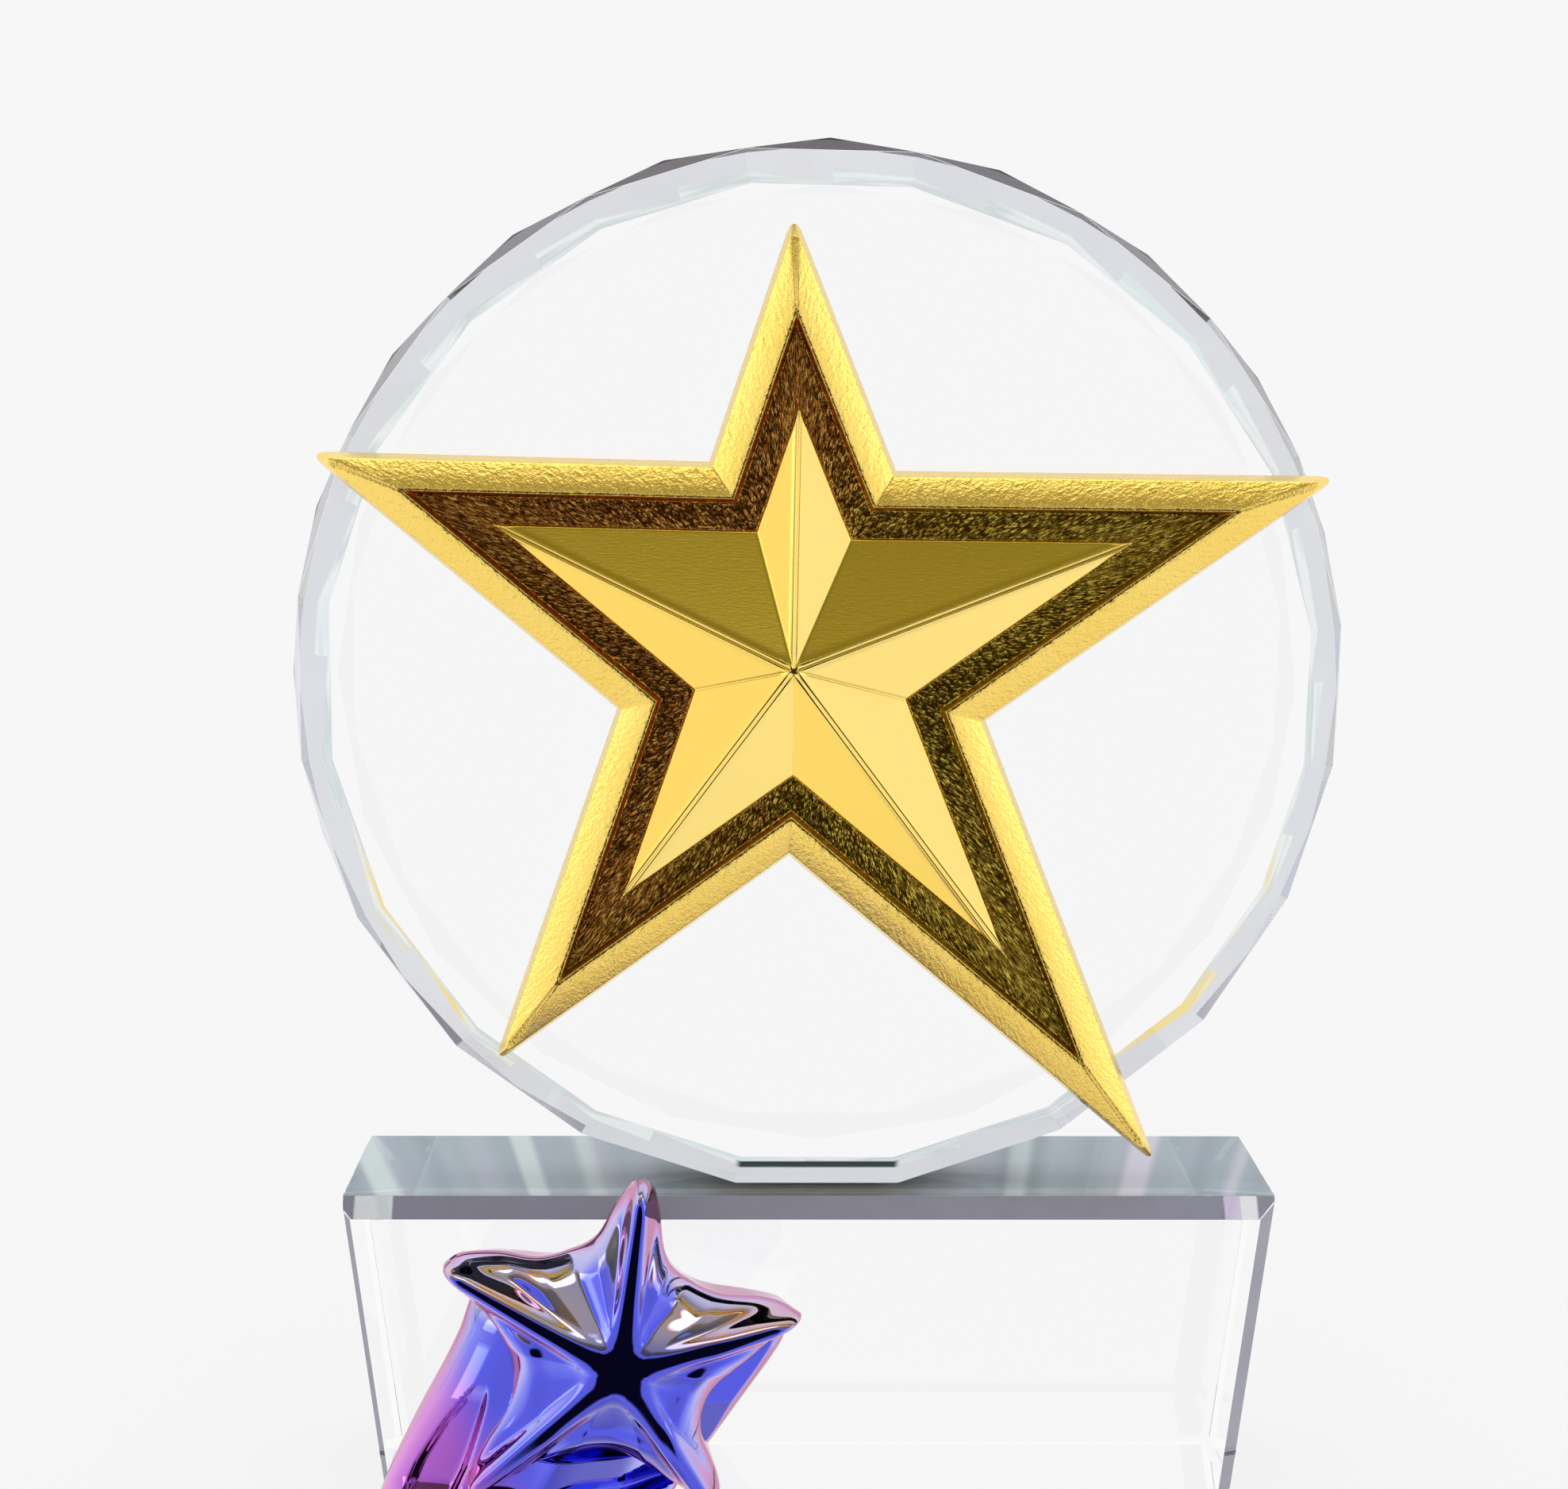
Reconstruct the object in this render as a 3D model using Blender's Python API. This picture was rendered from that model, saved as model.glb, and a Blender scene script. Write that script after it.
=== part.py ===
"""Crystal award.

A faceted crystal disc carrying a gold star stands on a tapered crystal block, with a glazed
shooting star glued to the front of the block. Lengths are in metres, +Z is up, the front faces
-Y, and the origin is the middle of the underside of the block's pad, on the table.
"""
import math

import bmesh
import bpy
from mathutils import Vector

MM = 0.001
BOND_GAP = 0.2 * MM            # clearance kept on each side of every film, tape and pad
BOND_FILM = 0.2 * MM           # thickness of a cured adhesive film
WELD_DISTANCE = 0.01 * MM

# Crystal block and the pad under it
PAD_THICKNESS = 1.0 * MM
PAD_MARGIN = 0.9 * MM
BLOCK_TOP_WIDTH = 118.0 * MM
BLOCK_BOTTOM_WIDTH = 107.5 * MM
BLOCK_DEPTH = 38.0 * MM
BLOCK_HEIGHT = 38.5 * MM
FRONT_TOP_CHAMFER = 2.5 * MM
BACK_TOP_CHAMFER = 0.7 * MM
LEFT_EDGE_CHAMFER = 0.9 * MM
RIGHT_EDGE_CHAMFER = 1.9 * MM
BOTTOM_CHAMFER = 0.6 * MM

# Faceted disc
DISC_CENTRE_X = 1.0 * MM
DISC_FRONT_Y = -17.0 * MM
DISC_FACE_RADIUS = 61.4 * MM
DISC_GIRDLE_RADIUS = 66.0 * MM
DISC_REAR_GIRDLE_RADIUS = 67.2 * MM
DISC_BEVEL_DEPTH = 5.0 * MM
DISC_GIRDLE_DEPTH = 10.0 * MM
FIRST_FACET_DEG = -99.0
# Hand-ground rim facets, counter-clockwise from the one that stands on the block
FACET_SPANS_DEG = (18, 19, 20, 16.5, 15.5, 15.5, 19, 18, 18, 19,
                   18.5, 18, 18.5, 18.5, 18.5, 18, 18.5, 18, 17, 18)
DISC_FILM_SIZE = (18.0 * MM, 8.0 * MM)

# Gold star: legs as (direction in degrees, length), the notch after each leg likewise
STAR_OFFSET_X = -3.3 * MM
STAR_OFFSET_Z = 1.9 * MM
STAR_LEGS = ((90.0, 55.5 * MM), (156.5, 65.5 * MM), (233.5, 63.0 * MM), (306.0, 78.5 * MM),
             (379.0, 71.5 * MM))
STAR_NOTCHES = ((112.5, 27.0 * MM), (194.5, 22.5 * MM), (269.0, 24.0 * MM), (343.5, 25.0 * MM),
                (422.0, 27.0 * MM))
STAR_TIP_CUT = 1.6 * MM
STAR_WALL_HEIGHT = 3.0 * MM
STAR_DRAFT = 0.6 * MM
STAR_RIM_INSET = 4.2 * MM
STAR_RIM_HEIGHT = 5.2 * MM
STAR_CHANNEL_INSET = 4.8 * MM
STAR_CHANNEL_HEIGHT = 4.0 * MM
STAR_CORE_INSET = 8.2 * MM
STAR_APEX_HEIGHT = 10.5 * MM
TAPE_THICKNESS = 0.6 * MM
CENTRE_TAPE_RADIUS = 11.0 * MM
LEG_TAPE_SIZE = (13.0 * MM, 9.0 * MM)
LEG_TAPE_DISTANCE = 27.0 * MM

# Glazed shooting star: centre of its five points, then points and notches as above
FIGURE_X = -22.6 * MM
FIGURE_Z = 22.6 * MM
FIGURE_LEGS = ((84.5, 22.2 * MM), (151.0, 25.5 * MM), (222.0, 26.0 * MM), (300.0, 23.0 * MM),
               (374.5, 22.2 * MM))
FIGURE_NOTCHES = ((115.0, 10.6 * MM), (186.0, 11.0 * MM), (262.0, 9.5 * MM), (330.0, 9.0 * MM),
                  (411.0, 9.4 * MM))
FIGURE_TIP_WIDTH = 3.6 * MM
FIGURE_WALL_DEPTH = 11.0 * MM
FIGURE_RIDGE_DEPTH = 19.0 * MM
FIGURE_SMOOTHING = 2
FIGURE_RINGS = 5
TAIL_TOP_Z = 28.0 * MM
TAIL_HALF_WIDTH = 19.5 * MM
TAIL_LEAN = 0.62               # sideways run to the left for each unit of fall
TAIL_DEPTH = 12.5 * MM
TAIL_CAP_HEIGHT = 7.0 * MM
TAIL_LEVELS = 12
TAIL_SIDES = 32
FIGURE_FILM_RADIUS = 9.0 * MM
FIGURE_PAD_SIZE = (30.0 * MM, 9.0 * MM)

BLOCK_BASE_Z = PAD_THICKNESS + BOND_GAP
BLOCK_TOP_Z = BLOCK_BASE_Z + BLOCK_HEIGHT
BLOCK_FRONT_Y = -BLOCK_DEPTH / 2
BOND_STACK = BOND_FILM + 2 * BOND_GAP
DISC_FLAT_Z = BLOCK_TOP_Z + BOND_STACK
DISC_CENTRE_Z = DISC_FLAT_Z + DISC_GIRDLE_RADIUS * math.cos(math.radians(FACET_SPANS_DEG[0] / 2))
STAR_BACK_Y = DISC_FRONT_Y - TAPE_THICKNESS - 2 * BOND_GAP
STAR_CENTRE = Vector((DISC_CENTRE_X + STAR_OFFSET_X, STAR_BACK_Y, DISC_CENTRE_Z + STAR_OFFSET_Z))
FIGURE_BACK_Y = BLOCK_FRONT_Y - BOND_STACK
FRONT = Vector((0.0, -1.0, 0.0))


def clear_scene():
    for obj in list(bpy.data.objects):
        bpy.data.objects.remove(obj, do_unlink=True)


def make_material(name, colour, roughness, metallic=0.0, transmission=0.0):
    material = bpy.data.materials.new(name)
    material.use_nodes = True
    shader = material.node_tree.nodes["Principled BSDF"]
    shader.inputs["Base Color"].default_value = (*colour, 1.0)
    shader.inputs["Roughness"].default_value = roughness
    shader.inputs["Metallic"].default_value = metallic
    shader.inputs["Transmission Weight"].default_value = transmission
    return material


def add_object(name, bm, material):
    bmesh.ops.recalc_face_normals(bm, faces=bm.faces)
    mesh = bpy.data.meshes.new(name)
    bm.to_mesh(mesh)
    bm.free()
    obj = bpy.data.objects.new(name, mesh)
    obj.data.materials.append(material)
    bpy.context.scene.collection.objects.link(obj)
    return obj


def polar(centre, angle_deg, radius, y):
    angle = math.radians(angle_deg)
    return Vector((centre.x + radius * math.cos(angle), y, centre.z + radius * math.sin(angle)))


def hull_solid(points):
    """Convex solid around the points, with coplanar triangles merged into one facet."""
    bm = bmesh.new()
    verts = [bm.verts.new(point) for point in points]
    hull = bmesh.ops.convex_hull(bm, input=verts)
    spare = [item for item in hull["geom_interior"] if isinstance(item, bmesh.types.BMVert)]
    bmesh.ops.delete(bm, geom=spare, context="VERTS")
    bmesh.ops.dissolve_limit(bm, angle_limit=math.radians(0.2), verts=bm.verts, edges=bm.edges)
    return bm


def grind(bm, point, normal):
    """Cut a convex solid with a plane and close the flat that the cut leaves."""
    geometry = list(bm.verts) + list(bm.edges) + list(bm.faces)
    bmesh.ops.bisect_plane(bm, geom=geometry, plane_co=point, plane_no=normal, clear_outer=True)
    bmesh.ops.remove_doubles(bm, verts=bm.verts, dist=WELD_DISTANCE)
    open_edges = [edge for edge in bm.edges if edge.is_boundary]
    bmesh.ops.contextual_create(bm, geom=open_edges)


def prism(outline, offset):
    """Straight-sided solid from a flat outline, moved along the offset vector."""
    bm = bmesh.new()
    base = bm.faces.new([bm.verts.new(point) for point in outline])
    moved = bmesh.ops.extrude_face_region(bm, geom=[base], use_keep_orig=True)
    verts = [item for item in moved["geom"] if isinstance(item, bmesh.types.BMVert)]
    bmesh.ops.translate(bm, verts=verts, vec=offset)
    return bm


def ring_solid(rings, apex=None):
    """Skin matching rings of points, closing the first with a flat and the last at the apex."""
    bm = bmesh.new()
    loops = [[bm.verts.new(point) for point in ring] for ring in rings]
    count = len(loops[0])
    for lower, upper in zip(loops, loops[1:]):
        for i in range(count):
            j = (i + 1) % count
            bm.faces.new((lower[i], lower[j], upper[j], upper[i]))
    bm.faces.new(reversed(loops[0]))
    if apex is None:
        bm.faces.new(loops[-1])
    else:
        tip = bm.verts.new(apex)
        for i in range(count):
            bm.faces.new((loops[-1][i], loops[-1][(i + 1) % count], tip))
    return bm


def build_block(material):
    half_top = BLOCK_TOP_WIDTH / 2
    half_bottom = BLOCK_BOTTOM_WIDTH / 2
    half_depth = BLOCK_DEPTH / 2
    corners = [(sx * half, sy * half_depth, z)
               for half, z in ((half_bottom, BLOCK_BASE_Z), (half_top, BLOCK_TOP_Z))
               for sx in (-1, 1) for sy in (-1, 1)]
    bm = hull_solid(corners)
    slant = (half_top - half_bottom) / BLOCK_HEIGHT
    for side_y, chamfer in ((-1, FRONT_TOP_CHAMFER), (1, BACK_TOP_CHAMFER)):
        edge = Vector((0.0, side_y * half_depth, BLOCK_TOP_Z - chamfer))
        grind(bm, edge, Vector((0.0, side_y, 1.0)))
    for side_x, side_y, chamfer in ((-1, -1, LEFT_EDGE_CHAMFER), (1, -1, RIGHT_EDGE_CHAMFER),
                                    (-1, 1, LEFT_EDGE_CHAMFER), (1, 1, LEFT_EDGE_CHAMFER)):
        edge = Vector((side_x * (half_top - chamfer), side_y * half_depth, BLOCK_TOP_Z))
        grind(bm, edge, Vector((side_x, side_y, -slant)))
    for side_x, side_y in ((-1, 0), (1, 0), (0, -1), (0, 1)):
        edge = Vector((side_x * half_bottom, side_y * half_depth, BLOCK_BASE_Z + BOTTOM_CHAMFER))
        grind(bm, edge, Vector((side_x, side_y, -1.0)))
    return add_object("crystal_block", bm, material)


def build_block_pad(material):
    half_x = BLOCK_BOTTOM_WIDTH / 2 - PAD_MARGIN
    half_y = BLOCK_DEPTH / 2 - PAD_MARGIN
    outline = [(sx * half_x, sy * half_y, 0.0) for sx, sy in ((-1, -1), (1, -1), (1, 1), (-1, 1))]
    bm = prism(outline, Vector((0.0, 0.0, PAD_THICKNESS)))
    corner_edges = [e for e in bm.edges if abs(e.verts[0].co.z - e.verts[1].co.z) > PAD_THICKNESS / 2]
    bmesh.ops.bevel(bm, geom=corner_edges, offset=2 * MM, segments=4, profile=0.5, affect="EDGES")
    return add_object("block_pad", bm, material)


def facet_angles():
    angles = [FIRST_FACET_DEG]
    for span in FACET_SPANS_DEG[:-1]:
        angles.append(angles[-1] + span)
    return angles


def build_disc(material):
    """Front face, bevel facets, a girdle of triangles and a rear bevel half a facet round."""
    centre = Vector((DISC_CENTRE_X, 0.0, DISC_CENTRE_Z))
    on_step = facet_angles()
    half_step = [angle + span / 2 for angle, span in zip(on_step, FACET_SPANS_DEG)]
    girdle_y = DISC_FRONT_Y + DISC_BEVEL_DEPTH
    rear_girdle_y = girdle_y + DISC_GIRDLE_DEPTH
    rear_y = rear_girdle_y + DISC_BEVEL_DEPTH
    points = []
    for angles, radius, y in ((on_step, DISC_FACE_RADIUS, DISC_FRONT_Y),
                              (on_step, DISC_GIRDLE_RADIUS, girdle_y),
                              (half_step, DISC_REAR_GIRDLE_RADIUS, rear_girdle_y),
                              (half_step, DISC_FACE_RADIUS, rear_y)):
        points += [polar(centre, angle, radius, y) for angle in angles]
    bm = hull_solid(points)
    grind(bm, Vector((0.0, 0.0, DISC_FLAT_Z)), Vector((0.0, 0.0, -1.0)))
    return add_object("crystal_disc", bm, material)


def build_disc_film(material):
    half_x, half_y = DISC_FILM_SIZE[0] / 2, DISC_FILM_SIZE[1] / 2
    middle_y = DISC_FRONT_Y + DISC_BEVEL_DEPTH + DISC_GIRDLE_DEPTH / 2 + BOND_GAP
    z = BLOCK_TOP_Z + BOND_GAP
    outline = [(DISC_CENTRE_X + sx * half_x, middle_y + sy * half_y, z)
               for sx, sy in ((-1, -1), (1, -1), (1, 1), (-1, 1))]
    bm = prism(outline, Vector((0.0, 0.0, BOND_FILM)))
    return add_object("disc_bond_film", bm, material)


def star_outline():
    """Leg tips and notches in turn, counter-clockwise, in the plane of the star's back."""
    outline = []
    for leg, notch in zip(STAR_LEGS, STAR_NOTCHES):
        outline.append(polar(STAR_CENTRE, leg[0], leg[1], STAR_BACK_Y))
        outline.append(polar(STAR_CENTRE, notch[0], notch[1], STAR_BACK_Y))
    return outline


def inset(outline, distance, height):
    """Outline moved inwards by an equal distance on every side, and forwards by height."""
    moved = []
    count = len(outline)
    for i, here in enumerate(outline):
        before = (here - outline[i - 1]).normalized()
        after = (outline[(i + 1) % count] - here).normalized()
        inward_before = Vector((-before.z, 0.0, before.x))
        inward_after = Vector((-after.z, 0.0, after.x))
        mitre = inward_before + inward_after
        scale = distance / mitre.dot(inward_before)
        moved.append(here + mitre * scale + FRONT * height)
    return moved


def blunt_tips(outline):
    """Each leg tip becomes a short flat, so that no edge is sharper than the casting's."""
    blunt = []
    count = len(outline)
    for i in range(0, count, 2):
        tip, before, after = outline[i], outline[i - 1], outline[(i + 1) % count]
        blunt.append(tip + (before - tip).normalized() * STAR_TIP_CUT)
        blunt.append(tip + (after - tip).normalized() * STAR_TIP_CUT)
        blunt.append(after)
    return blunt


def build_star(material):
    outline = star_outline()
    profile = ((0.0, 0.0), (STAR_DRAFT, STAR_WALL_HEIGHT), (STAR_RIM_INSET, STAR_RIM_HEIGHT),
               (STAR_CHANNEL_INSET, STAR_CHANNEL_HEIGHT), (STAR_CORE_INSET, STAR_CHANNEL_HEIGHT))
    rings = [blunt_tips(inset(outline, distance, height)) for distance, height in profile]
    apex = STAR_CENTRE + FRONT * STAR_APEX_HEIGHT
    return add_object("gold_star", ring_solid(rings, apex), material)


def build_star_tapes(material):
    """One round tape behind the middle of the star and one strip behind each leg."""
    y = STAR_BACK_Y + BOND_GAP
    offset = Vector((0.0, TAPE_THICKNESS, 0.0))
    outline = [polar(STAR_CENTRE, 15.0 * i, CENTRE_TAPE_RADIUS, y) for i in range(24)]
    add_object("star_tape_centre", prism(outline, offset), material)
    for number, (direction, _) in enumerate(STAR_LEGS, start=1):
        middle = polar(STAR_CENTRE, direction, LEG_TAPE_DISTANCE, y)
        along = polar(Vector(), direction, LEG_TAPE_SIZE[0] / 2, 0.0)
        across = polar(Vector(), direction + 90.0, LEG_TAPE_SIZE[1] / 2, 0.0)
        outline = [middle + a * along + b * across for a, b in ((-1, -1), (1, -1), (1, 1), (-1, 1))]
        add_object(f"star_tape_leg_{number}", prism(outline, offset), material)


def figure_outline():
    """Rounded five-pointed outline: a closed quadratic curve made by cutting corners."""
    centre = Vector((FIGURE_X, FIGURE_BACK_Y, FIGURE_Z))
    points = []
    for leg, notch in zip(FIGURE_LEGS, FIGURE_NOTCHES):
        tip = polar(centre, leg[0], leg[1], FIGURE_BACK_Y)
        half_tip = polar(Vector(), leg[0] + 90.0, FIGURE_TIP_WIDTH / 2, 0.0)
        points += [tip - half_tip, tip + half_tip, polar(centre, notch[0], notch[1], FIGURE_BACK_Y)]
    for _ in range(FIGURE_SMOOTHING):
        cut = []
        for i, here in enumerate(points):
            following = points[(i + 1) % len(points)]
            cut += [here.lerp(following, 0.25), here.lerp(following, 0.75)]
        points = cut
    return points


def build_figure(material):
    """Puffed five-pointed star with a tail joined to it; both are ground flat at back and foot."""
    centre = Vector((FIGURE_X, FIGURE_BACK_Y, FIGURE_Z))
    outline = figure_outline()
    rings = [outline]
    for level in range(FIGURE_RINGS):
        share = level / FIGURE_RINGS
        crown = FIGURE_RIDGE_DEPTH - FIGURE_WALL_DEPTH
        depth = FIGURE_WALL_DEPTH + crown * math.sin(0.5 * math.pi * share)
        rings.append([point.lerp(centre, share) + FRONT * depth for point in outline])
    apex = centre + FRONT * FIGURE_RIDGE_DEPTH
    figure = add_object("glazed_shooting_star", ring_solid(rings, apex), material)
    union = figure.modifiers.new("join_tail", "BOOLEAN")
    union.operation = "UNION"
    union.solver = "EXACT"
    union.object = tail_guide(material)
    trim = figure.modifiers.new("grind_flats", "BOOLEAN")
    trim.operation = "INTERSECT"
    trim.solver = "EXACT"
    trim.object = figure_envelope(material)
    return figure


def hide_guide(obj):
    obj.hide_render = True
    obj.display_type = "WIRE"
    return obj


def tail_guide(material):
    """Broad leaning body behind the points, rounded over at the top, in level sections."""
    rings = []
    cap_base = TAIL_TOP_Z - TAIL_CAP_HEIGHT
    for level in range(TAIL_LEVELS + 1):
        z = TAIL_TOP_Z * level / (TAIL_LEVELS + 0.5)
        rise = max(0.0, z - cap_base) / TAIL_CAP_HEIGHT
        taper = math.sqrt(1.0 - rise ** 2)
        middle_x = FIGURE_X - TAIL_LEAN * (FIGURE_Z - z)
        ring = []
        for k in range(TAIL_SIDES):
            turn = 2 * math.pi * k / TAIL_SIDES
            across = math.copysign(abs(math.cos(turn)) ** 0.7, math.cos(turn))
            ring.append(Vector((middle_x + TAIL_HALF_WIDTH * taper * across,
                                FIGURE_BACK_Y - TAIL_DEPTH * taper * math.sin(turn), z)))
        rings.append(ring)
    return hide_guide(add_object("tail_guide", ring_solid(rings), material))


def figure_envelope(material):
    """Box whose back and floor leave the figure's two ground flats."""
    low = Vector((-70 * MM, -60 * MM, BLOCK_BASE_Z))
    high = Vector((20 * MM, FIGURE_BACK_Y, 60 * MM))
    outline = [(low.x, low.y, low.z), (high.x, low.y, low.z), (high.x, high.y, low.z),
               (low.x, high.y, low.z)]
    bm = prism(outline, Vector((0.0, 0.0, high.z - low.z)))
    return hide_guide(add_object("figure_envelope", bm, material))


def build_figure_film(material):
    y = FIGURE_BACK_Y + BOND_GAP
    centre = Vector((FIGURE_X, y, FIGURE_Z))
    outline = [polar(centre, 15.0 * i, FIGURE_FILM_RADIUS, y) for i in range(24)]
    return add_object("figure_bond_film", prism(outline, Vector((0.0, BOND_FILM, 0.0))), material)


def build_figure_pad(material):
    """Oval pad under the figure's foot."""
    foot_x = FIGURE_X - TAIL_LEAN * (FIGURE_Z - BLOCK_BASE_Z)
    foot_y = FIGURE_BACK_Y - TAIL_DEPTH / 2
    outline = []
    for step in range(24):
        turn = 2 * math.pi * step / 24
        outline.append(Vector((foot_x + FIGURE_PAD_SIZE[0] / 2 * math.cos(turn),
                               foot_y + FIGURE_PAD_SIZE[1] / 2 * math.sin(turn), 0.0)))
    return add_object("figure_pad", prism(outline, Vector((0.0, 0.0, PAD_THICKNESS))), material)


def main():
    clear_scene()
    crystal = make_material("optical_crystal", (0.94, 0.96, 0.97), 0.02, transmission=1.0)
    adhesive = make_material("clear_adhesive", (0.80, 0.84, 0.86), 0.25, transmission=0.6)
    gold = make_material("gold_plating", (0.83, 0.60, 0.18), 0.25, metallic=1.0)
    tape = make_material("foam_tape", (0.85, 0.85, 0.83), 0.7)
    glaze = make_material("iridescent_glaze", (0.24, 0.22, 0.72), 0.08, metallic=0.6)
    silicone = make_material("silicone_pad", (0.86, 0.87, 0.88), 0.6)
    build_block(crystal)
    build_block_pad(silicone)
    build_disc(crystal)
    build_disc_film(adhesive)
    build_star(gold)
    build_star_tapes(tape)
    build_figure(glaze)
    build_figure_film(adhesive)
    build_figure_pad(silicone)


main()
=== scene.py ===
import math

import bmesh
import bpy
import numpy as np
from mathutils import Matrix, Vector, noise


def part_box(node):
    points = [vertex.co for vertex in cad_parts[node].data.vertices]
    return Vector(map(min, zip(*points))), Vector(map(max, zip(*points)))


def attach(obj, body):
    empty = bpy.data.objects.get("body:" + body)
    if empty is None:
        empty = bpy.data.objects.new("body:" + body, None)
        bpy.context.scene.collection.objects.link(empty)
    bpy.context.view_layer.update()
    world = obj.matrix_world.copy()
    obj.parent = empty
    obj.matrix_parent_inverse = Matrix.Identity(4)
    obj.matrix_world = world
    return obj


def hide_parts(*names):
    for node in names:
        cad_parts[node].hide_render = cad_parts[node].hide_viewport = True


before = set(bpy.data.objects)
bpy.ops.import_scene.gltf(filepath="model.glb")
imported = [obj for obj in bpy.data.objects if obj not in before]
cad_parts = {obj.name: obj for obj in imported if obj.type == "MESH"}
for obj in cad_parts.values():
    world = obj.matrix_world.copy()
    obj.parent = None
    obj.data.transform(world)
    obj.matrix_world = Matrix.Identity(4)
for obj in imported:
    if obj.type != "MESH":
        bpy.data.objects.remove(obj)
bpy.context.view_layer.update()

MM = 0.001
BACKDROP = 0.930               # linear grey of the studio's paper
SEEN_THROUGH = 0.970           # the same paper behind two polished faces
CRYSTAL_IOR = 1.517
VEIL = 0.88                    # how fully a veiled facet hides what is inside the glass
ARRIS_WIDTH = 0.12 * MM        # the fine polished edge between two ground faces
CAMERA_PLACE = Vector((-7.18, -468.41, 147.56)) * MM
CAMERA_TURN = (-0.486, 6.371, 0.138)   # yaw, downward pitch and roll in degrees
CAMERA_LENS = 83.71            # focal length in mm, on a sensor 36 mm wide
SCENE = bpy.context.scene


# ---------------------------------------------------------------- node graphs

class Graph:
    """Short calls for building a shader node tree."""

    def __init__(self, tree):
        self.nodes = tree.nodes
        self.links = tree.links

    def node(self, kind, inputs=None, **settings):
        made = self.nodes.new(kind)
        for key, value in settings.items():
            setattr(made, key, value)
        for key, value in (inputs or {}).items():
            self.feed(made.inputs[key], value)
        return made

    def feed(self, socket, value):
        if isinstance(value, bpy.types.NodeSocket):
            self.links.new(value, socket)
        elif socket.type == "RGBA" and not isinstance(value, (int, float)):
            socket.default_value = (*value[:3], 1.0)
        elif socket.type == "RGBA":
            socket.default_value = (value, value, value, 1.0)
        else:
            socket.default_value = value

    def math(self, operation, *values):
        made = self.node("ShaderNodeMath", operation=operation)
        for socket, value in zip(made.inputs, values):
            self.feed(socket, value)
        return made.outputs[0]

    def product(self, first, *others):
        """All the values multiplied together."""
        for value in others:
            first = self.math("MULTIPLY", first, value)
        return first

    def vector(self, operation, *values):
        made = self.node("ShaderNodeVectorMath", operation=operation)
        for socket, value in zip(made.inputs, values):
            self.feed(socket, value)
        return made.outputs["Value"] if operation == "DOT_PRODUCT" else made.outputs["Vector"]

    def mix(self, share, first, second, blend="MIX"):
        made = self.node("ShaderNodeMix", data_type="RGBA", blend_type=blend)
        for index, value in ((0, share), (6, first), (7, second)):
            self.feed(made.inputs[index], value)
        return made.outputs[2]

    def step(self, value, low, high):
        """0 below low, 1 above high and smooth between; a low above high turns it round."""
        made = self.node("ShaderNodeMapRange", interpolation_type="SMOOTHSTEP")
        for socket, item in zip(made.inputs, (value, low, high)):
            self.feed(socket, item)
        return made.outputs[0]

    def band(self, value, low, full_low, full_high, high):
        """1 from full_low to full_high, 0 below low and above high, and smooth between."""
        return self.product(self.step(value, low, full_low), self.step(value, high, full_high))

    def ramp(self, value, stops):
        made = self.node("ShaderNodeValToRGB", {0: value})
        elements = made.color_ramp.elements
        elements.remove(elements[1])
        elements[0].position = stops[0][0]
        elements[0].color = (*stops[0][1], 1.0)
        for position, colour in stops[1:]:
            elements.new(position).color = (*colour, 1.0)
        return made.outputs[0]

    def noise(self, where, scale, detail=2.0, roughness=0.5, distortion=0.0):
        return self.node("ShaderNodeTexNoise", {
            "Vector": where, "Scale": scale, "Detail": detail, "Roughness": roughness,
            "Distortion": distortion}).outputs[0]

    def split(self, value):
        return self.node("ShaderNodeSeparateXYZ", {0: value}).outputs

    def bump(self, height, distance, strength=1.0):
        return self.node("ShaderNodeBump", {"Height": height, "Distance": distance,
                                            "Strength": strength}).outputs[0]


def new_material(name):
    """A material with an empty node tree and its output node."""
    material = bpy.data.materials.new(name)
    material.use_nodes = True
    material.node_tree.nodes.clear()
    graph = Graph(material.node_tree)
    return material, graph, graph.node("ShaderNodeOutputMaterial")


def object_space(graph):
    return graph.node("ShaderNodeTexCoord").outputs["Object"]


# ---------------------------------------------------------------- studio

def mirror_surroundings(g, x, y, z):
    """What polished surfaces reflect, by the direction's x, y and z: white paper round the sides,
    two side lamps, a darker opening overhead with a lamp at its middle, and the unlit side of the
    room in front, behind the camera."""
    aside = g.math("ABSOLUTE", g.math("ARCTAN2", x, g.math("MULTIPLY", y, -1.0)))
    unlit_half_width, unlit_half_height, unlit_middle, roundness = 0.56, 0.50, -0.16, 2.4
    forward = g.math("DIVIDE", aside, unlit_half_width)
    upward = g.math("DIVIDE", g.math("ABSOLUTE", g.math("SUBTRACT", z, unlit_middle)),
                    unlit_half_height)
    spread = g.math("ADD", g.math("POWER", forward, roundness), g.math("POWER", upward, roundness))
    unlit = g.product(g.step(spread, 1.45, 0.80), g.step(y, 0.0, -0.2))
    paper = g.mix(g.step(z, -0.78, -0.90), (1.01, 1.00, 0.99), (0.66, 0.60, 0.62))
    overhead = g.mix(g.step(z, 0.80, 0.90), (0.27, 0.25, 0.155), (0.60, 0.56, 0.45))
    overhead = g.mix(g.step(z, 0.955, 0.975), overhead, (2.4, 2.4, 2.3))
    lid = g.product(g.step(z, 0.50, 0.60), g.step(y, 0.25, -0.05))
    lamps = g.product(g.band(aside, 1.32, 1.38, 1.62, 1.68), g.band(z, 0.10, 0.16, 0.50, 0.58))
    colour = g.mix(lid, paper, overhead)
    colour = g.mix(lamps, colour, (2.6, 2.6, 2.6))
    return g.mix(unlit, colour, (0.022, 0.016, 0.018))


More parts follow.
